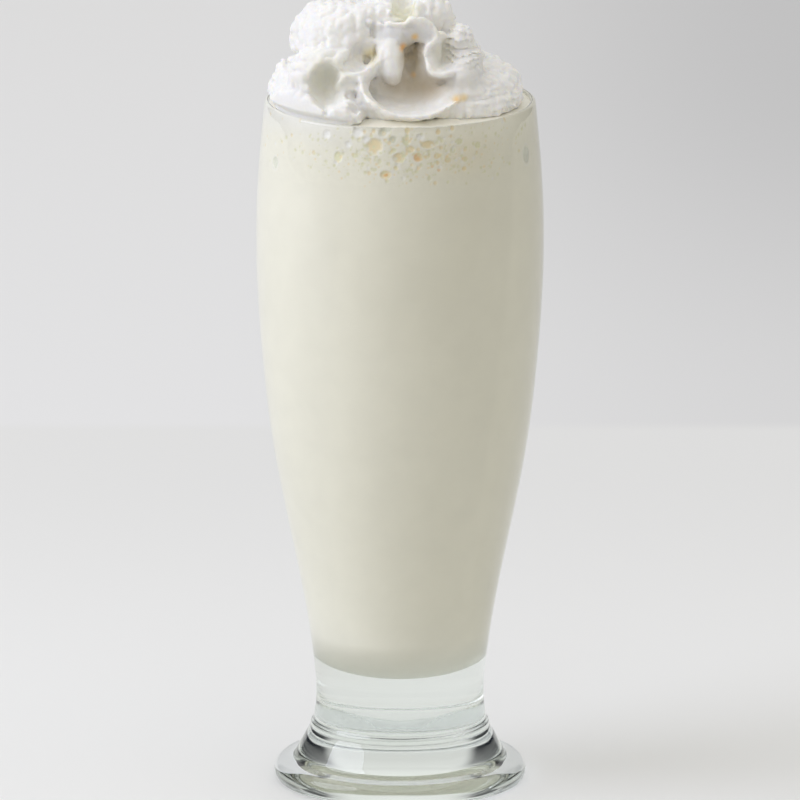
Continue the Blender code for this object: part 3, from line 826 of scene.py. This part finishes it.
def tinted_material(name, roughness, grain, depth, scatter=0.0):
    """A pale material that takes its colour from the piece, with unevenness of the given grain and depth."""
    made, tree, shader = new_material(name)
    tint = tree.nodes.new("ShaderNodeVertexColor")
    tint.layer_name = "tint"
    place = tree.nodes.new("ShaderNodeTexCoord")
    noise = tree.nodes.new("ShaderNodeTexNoise")
    socket(noise, "Scale", 1 / (grain * METRES))
    socket(noise, "Detail", 3.0)
    vary = tree.nodes.new("ShaderNodeMapRange")
    socket(vary, "To Min", PALE_VARIATION[0])
    socket(vary, "To Max", PALE_VARIATION[1])
    shade = tree.nodes.new("ShaderNodeMix")
    shade.data_type = "RGBA"
    shade.blend_type = "MULTIPLY"
    socket(shade, "Factor", 1.0)
    bump = tree.nodes.new("ShaderNodeBump")
    socket(bump, "Strength", PALE_BUMP)
    socket(bump, "Distance", depth * METRES)
    link(tree, place, "Object", noise, "Vector")
    link(tree, noise, "Fac", vary, "Value")
    tree.links.new(tint.outputs["Color"], shade.inputs[6])
    tree.links.new(vary.outputs["Result"], shade.inputs[7])
    tree.links.new(shade.outputs[2], shader.inputs["Base Color"])
    link(tree, noise, "Fac", bump, "Height")
    link(tree, bump, "Normal", shader, "Normal")
    socket(shader, "Roughness", roughness)
    socket(shader, "Specular IOR Level", PALE_SPECULAR)
    if scatter:
        socket(shader, "Subsurface Weight", 1.0)
        socket(shader, "Subsurface Radius", PALE_SCATTER)
        socket(shader, "Subsurface Scale", scatter * METRES)
    return made


# The drink's colour at its top, and a lighter colour at its bottom that paints the light bounced up from the
# floor
DRINK_TOP_COLOUR = (0.90, 0.872, 0.745)
DRINK_BOTTOM_PAINTED_LIGHT = (0.955, 0.93, 0.80)

# Bubbles against the glass: (degrees from the front, height, half width, half height, kind)
BUBBLE_TINTS = {
    "tan": (0.87, 0.72, 0.42),
    "orange": (0.84, 0.50, 0.17),
    "pale": (0.78, 0.76, 0.50),
    "grey": (0.66, 0.66, 0.52),
    "white": (0.91, 0.895, 0.85),
    "cream": (0.90, 0.88, 0.80),
}
BUBBLES = (
    (-11.0, 178.8, 2.2, 2.2, "tan"),
    (-0.4, 176.0, 1.6, 1.35, "tan"),
    (7.6, 176.1, 1.2, 1.2, "orange"),
    (12.0, 179.3, 1.9, 1.0, "tan"),
    (4.3, 178.2, 1.2, 0.95, "tan"),
    (-6.0, 171.5, 1.5, 1.1, "tan"),
    (-6.0, 171.4, 0.7, 0.5, "orange"),
    (-27.0, 175.4, 1.2, 1.5, "pale"),
    (-19.5, 176.2, 0.7, 0.7, "pale"),
    (15.8, 176.2, 0.85, 0.8, "tan"),
    (16.5, 172.6, 0.5, 0.5, "orange"),
    (13.6, 173.6, 0.4, 0.4, "orange"),
    (8.0, 173.5, 0.6, 0.55, "tan"),
    (4.9, 174.1, 0.5, 0.45, "tan"),
    (12.2, 176.3, 0.55, 0.5, "tan"),
    (17.7, 178.3, 0.6, 0.55, "tan"),
    (25.9, 179.5, 1.1, 0.8, "pale"),
    (27.9, 174.8, 0.7, 0.7, "tan"),
    (27.9, 172.3, 0.7, 0.6, "tan"),
    (3.2, 183.0, 0.7, 0.7, "tan"),
    (16.6, 182.4, 0.7, 0.7, "tan"),
    (-3.1, 180.7, 1.0, 1.0, "grey"),
    (-5.4, 183.9, 1.4, 1.3, "grey"),
    (-18.5, 182.2, 1.4, 1.2, "white"),
    (66.0, 172.3, 1.7, 2.3, "grey"),
    (-64.0, 170.3, 1.4, 1.6, "grey"),
    (-7.4, 182.4, 1.1, 1.0, "grey"),
    (2.6, 180.3, 1.0, 0.95, "pale"),
    (8.6, 181.3, 1.0, 0.9, "white"),
    (-14.5, 180.6, 1.0, 0.9, "white"),
    (-22.5, 179.0, 1.0, 0.95, "white"),
    (20.5, 175.0, 0.9, 0.8, "tan"),
    (23.0, 177.4, 0.8, 0.75, "pale"),
    (-1.6, 173.4, 0.7, 0.65, "tan"),
    (1.9, 176.4, 0.7, 0.65, "pale"),
    (-2.8, 177.9, 0.8, 0.75, "pale"),
    (-33.0, 181.0, 1.1, 1.2, "white"),
    (35.0, 178.0, 0.9, 0.9, "pale"),
)
FINE_BUBBLES = 520
FINE_MIDDLE, FINE_SPREAD = 4.0, 24.0  # degrees
FINE_Z, FINE_Z_SPREAD = 176.5, 3.6
STRAY_BUBBLES = 260  # all round
STRAY_Z = (170, 184)
FINE_SIZE, FINE_GROWTH = 0.18, 0.42  # the least half width, and what chance adds at most
FINE_KINDS = ("pale", "tan", "white", "pale", "pale")
BUBBLE_SEED = 7
WIDE_BUBBLE = 0.6  # half width above which a bubble is coloured more strongly
WIDE_STRENGTH, FINE_STRENGTH = 0.85, 0.6
FILL_REACH, FILL_FADE = 1.15, 0.45  # of a bubble's colour, as shares of its half width
RIM_AT, RIM_SLOPE = 1.2, 5  # the pale ring round a bubble
RIM_WIDE, RIM_STRENGTH = 1.2, 0.5

# The froth's mesh has columns round the wall, rows up it and rings on its top
FROTH_COLUMNS, FROTH_ROWS, FROTH_RINGS = 900, 60, 24
FROTH_SEED = 8
FROTH_PASSES = 9  # of smoothing over the unevenness of its top
SWELL_AT, SWELL_WIDTH = 0.8, 0.12  # shares of the radius
SWELL_TURN, SWELL_TURN_WIDTH = 0.05, 0.55  # radians from the front
# Its wall is creamier at the upper left and warmer at the right of the middle
CREAMY_Z, CREAMY_RISE = 177, 6
CREAMY_TURN, CREAMY_SLOPE = 0.25, 3
WARM_TURN, WARM_TURN_WIDTH = 0.5, 0.25
WARM_Z, WARM_Z_WIDTH = 176, 5
WARM_LOSS = (0.0, 0.03, 0.08)


def grown(outline, reach):
    """The outline of a turned solid moved outward by reach."""
    points = np.array(outline)
    along = np.gradient(points, axis=0)
    along /= np.linalg.norm(along, axis=1)[:, None]
    return points + reach * np.stack([along[:, 1], -along[:, 0]], 1)


def drink():
    """The frappe, which reaches just into the glass's wall. Its colour is painted lighter towards the
    bottom, as light bounced up from the floor.
    """
    outline = rounded(section("drink"))
    corner = max(range(len(outline)), key=lambda i: (round(outline[i][1], 3), outline[i][0]))
    wall = grown(outline[: corner + 1], WALL_GAP + INTO_WALL)
    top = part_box("froth")[0][2] / METRES
    outline = [(0.0, wall[0][1])] + [tuple(point) for point in wall[1:]] + [(wall[-1][0], top), (0.0, top)]
    points, faces = lathe(outline)
    material = tinted_material("frappe", roughness=0.35, grain=9.0, depth=0.05)
    made = mesh_object("frappe", points, faces, material, "drink")
    # painted light: the colour lightens from the top down towards the bottom
    share = points[:, 2:] / points[:, 2].max()
    rise = np.array(DRINK_TOP_COLOUR) - DRINK_BOTTOM_PAINTED_LIGHT
    colour_of(made.data, "tint", DRINK_BOTTOM_PAINTED_LIGHT + rise * share)


def wall_of(*nodes):
    """Radius of the turned solids' wall at a height, read from their outlines."""
    wall = {z: r for node in nodes for r, z in section(node) if r > WELL_R}
    heights = sorted(wall)
    radii = [wall[z] for z in heights]
    return lambda z: np.interp(z, heights, radii)


def all_bubbles():
    """(angle, height, half width, half height, tint) of the named bubbles and of many small ones."""
    bubbles = [(math.radians(t), z, w, h, BUBBLE_TINTS[kind]) for t, z, w, h, kind in BUBBLES]
    draw = np.random.default_rng(BUBBLE_SEED)
    kinds = [BUBBLE_TINTS[kind] for kind in FINE_KINDS]
    for i in range(FINE_BUBBLES + STRAY_BUBBLES):
        turn = math.radians(draw.normal(FINE_MIDDLE, FINE_SPREAD))
        z = draw.normal(FINE_Z, FINE_Z_SPREAD)
        if i >= FINE_BUBBLES:
            turn = draw.uniform(-math.pi, math.pi)
            z = draw.uniform(*STRAY_Z)
        size = FINE_SIZE + FINE_GROWTH * draw.random() ** 2
        bubbles.append((turn, z, size, size, kinds[draw.integers(len(kinds))]))
    return bubbles


def bell(values, middle, width):
    """A smooth hump, 1 at the middle."""
    return np.exp(-(((values - middle) / width) ** 2))


def froth():
    """The band of froth: bubbles lie against the glass, and its top is a shallow bed of them."""
    low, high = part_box("froth")
    bottom, top = low[2] / METRES - FROTH_LAP, high[2] / METRES + WALL_GAP
    around, rows, rings = FROTH_COLUMNS, FROTH_ROWS, FROTH_RINGS
    turn = np.tile(math.tau * np.arange(around) / around, (rows, 1))
    turn = (turn + math.pi) % math.tau - math.pi
    height = np.repeat(np.linspace(bottom, top, rows)[:, None], around, 1)
    radius = wall_of("drink", "froth")(height) + WALL_GAP + INTO_WALL
    tint = np.tile(np.array(DRINK_TOP_COLOUR), (rows, around, 1))
    creamy = np.clip((height - CREAMY_Z) / CREAMY_RISE, 0, 1)
    creamy = creamy * np.clip((-turn - CREAMY_TURN) * CREAMY_SLOPE, 0, 1)
    tint += (np.array(BUBBLE_TINTS["cream"]) - tint) * creamy[..., None]
    warm = bell(turn, WARM_TURN, WARM_TURN_WIDTH) * bell(height, WARM_Z, WARM_Z_WIDTH)
    tint *= 1 - warm[..., None] * np.array(WARM_LOSS)
    dent = np.zeros_like(turn)
    for t, z, wide, tall, colour in all_bubbles():
        across = ((turn - t + math.pi) % math.tau - math.pi) * radius
        apart = np.hypot(across / wide, (height - z) / tall)
        inside = apart < 1
        dent[inside] = np.maximum(dent[inside], BUBBLE_DEPTH * wide * np.sqrt(1 - apart[inside] ** 2))
        fill = np.clip((FILL_REACH - apart) / FILL_FADE, 0, 1)[..., None]
        tint += (np.array(colour) - tint) * fill * (WIDE_STRENGTH if wide > WIDE_BUBBLE else FINE_STRENGTH)
        ring = np.clip(1 - abs(apart - RIM_AT) * RIM_SLOPE, 0, 1)[..., None]
        ring = ring * min(wide / RIM_WIDE, 1) * RIM_STRENGTH
        tint += (np.array(BUBBLE_TINTS["white"]) - tint) * ring
    radius = radius - dent
    inward = 1 - np.arange(1, rings)[:, None] / rings
    bed = np.random.default_rng(FROTH_SEED).normal(0, FROTH_TOP_RELIEF, (rings - 1, around))
    for _ in range(FROTH_PASSES):
        bed = (np.roll(bed, 1, 1) + bed + np.roll(bed, -1, 1)) / 3
    swell = FROTH_SWELL * bell(inward, SWELL_AT, SWELL_WIDTH)
    swell = swell * bell(turn[: rings - 1], SWELL_TURN, SWELL_TURN_WIDTH)
    radius = np.vstack([radius, radius[-1] * inward])
    height = np.vstack([height, top - abs(bed) + swell])
    turn = np.vstack([turn, turn[: rings - 1]])
    tint = np.vstack([tint, np.tile(tint[-1].mean(0), (rings - 1, around, 1))])
    points = np.stack([radius * np.sin(turn), -radius * np.cos(turn), height], -1).reshape(-1, 3)
    faces = []
    for row in range(rows + rings - 2):
        for column in range(around):
            beside = (column + 1) % around
            here, above = row * around, (row + 1) * around
            faces.append((here + column, here + beside, above + beside, above + column))
    faces.append(tuple(reversed(range(around))))
    faces.append(tuple(range(len(points) - around, len(points))))
    material = tinted_material("froth", roughness=0.3, grain=1.5, depth=0.05)
    made = mesh_object("froth_band", points, faces, material, "froth")
    colour_of(made.data, "tint", tint.reshape(-1, 3))


CREAM_COLOUR = (0.88, 0.872, 0.846)
CREAM_MARK_REACH = 1.4  # in radii, where each tint and painted shade has faded out
CREAM_MARKS_AND_PAINTED_SHADE = (  # warm tints and painted shade: centre, radii, colour, strength
    # painted shade, warm brown, down the deep channel
    ((2.8, -16.0, 199.0), (3.2, 7.0, 7.0), (0.47, 0.39, 0.245), 0.9),
    # painted shade, grey, over the bowl under the lobes
    ((3.0, -25.0, 189.0), (12.0, 11.0, 5.5), (0.80, 0.785, 0.745), 0.7),
    # painted shade, brown, across the back of the bowl
    ((4.5, -18.0, 191.3), (9.5, 6.0, 3.6), (0.54, 0.455, 0.32), 0.8),
    # a tint like the froth's, where the cream meets it
    ((3.0, -29.0, 183.4), (14.0, 6.0, 2.0), (0.86, 0.84, 0.74), 1.0),
    # painted shade, grey, in the left recess
    ((-10.5, -18.0, 200.2), (4.6, 7.0, 3.2), (0.78, 0.775, 0.75), 0.6),
    # painted shade, yellow, deep in the left recess
    ((-7.8, -18.0, 199.4), (2.0, 6.0, 2.0), (0.76, 0.68, 0.42), 0.8),
    # painted shade, yellow, in the valley behind the tongue
    ((1.0, -9.0, 209.5), (3.4, 7.0, 4.2), (0.74, 0.72, 0.50), 0.9),
    # painted shade, yellowish grey, in the right trough
    ((10.8, -13.0, 200.5), (2.8, 6.0, 5.5), (0.76, 0.73, 0.60), 0.7),
    # painted shade, olive grey, in the cave
    ((-19.2, -24.0, 194.4), (4.8, 7.0, 5.8), (0.70, 0.69, 0.58), 0.8),
    # painted shade, grey, on the tongue's face
    ((0.5, -15.5, 205.0), (10.0, 3.0, 2.8), (0.72, 0.72, 0.72), 0.7),
    # thin orange streaks
    ((0.8, -18.0, 201.6), (0.9, 4.0, 1.0), (0.80, 0.50, 0.22), 1.0),
    ((3.9, -17.0, 204.2), (0.9, 4.0, 0.9), (0.80, 0.58, 0.28), 1.0),
    ((3.4, -17.0, 193.6), (0.9, 4.0, 0.9), (0.84, 0.55, 0.24), 1.0),
    ((14.8, -22.0, 189.0), (1.2, 4.0, 1.0), (0.88, 0.66, 0.34), 1.0),
    ((16.6, -21.5, 189.2), (1.1, 4.0, 1.0), (0.88, 0.70, 0.40), 1.0),
    # painted shade, grey, on the right side, which faces away from the light
    ((16.5, -15.0, 196.0), (6.5, 9.0, 9.0), (0.70, 0.69, 0.66), 0.7),
)


def cream():
    """The whipped cream, warmer near the froth and in thin orange streaks, with shade painted grey and warm
    brown into its hollows, on its tongue's face and on its right side.
    """
    shape = shaped_cream(CREAM_GRID)
    points, faces = shape.surface()
    material = tinted_material("cream", roughness=0.6, grain=0.7, depth=0.12, scatter=0.7)
    made = mesh_object("cream_swirl", points, faces, material, "whipped_cream")
    tint = np.tile(np.array(CREAM_COLOUR), (len(points), 1))
    # mixes the warm tints and the painted shade into the cream's colour
    for centre, radii, colour, strength in CREAM_MARKS_AND_PAINTED_SHADE:
        apart = np.linalg.norm((points - np.array(centre)) / np.array(radii), axis=1)
        share = np.clip(CREAM_MARK_REACH - apart, 0, 1)[:, None] * strength
        tint += (np.array(colour) - tint) * np.minimum(share, 1)
    colour_of(made.data, "tint", tint)


def glass():
    """The glass, turned more finely than its solid."""
    points, faces = lathe(rounded(section("glass")))
    made = mesh_object("glass_body", points, faces, glass_material(), "glass")
    made.visible_shadow = False


bpy.context.scene.view_settings.view_transform = "Standard"
camera()
floor()
world()
key_light()
glass()
drink()
froth()
cream()
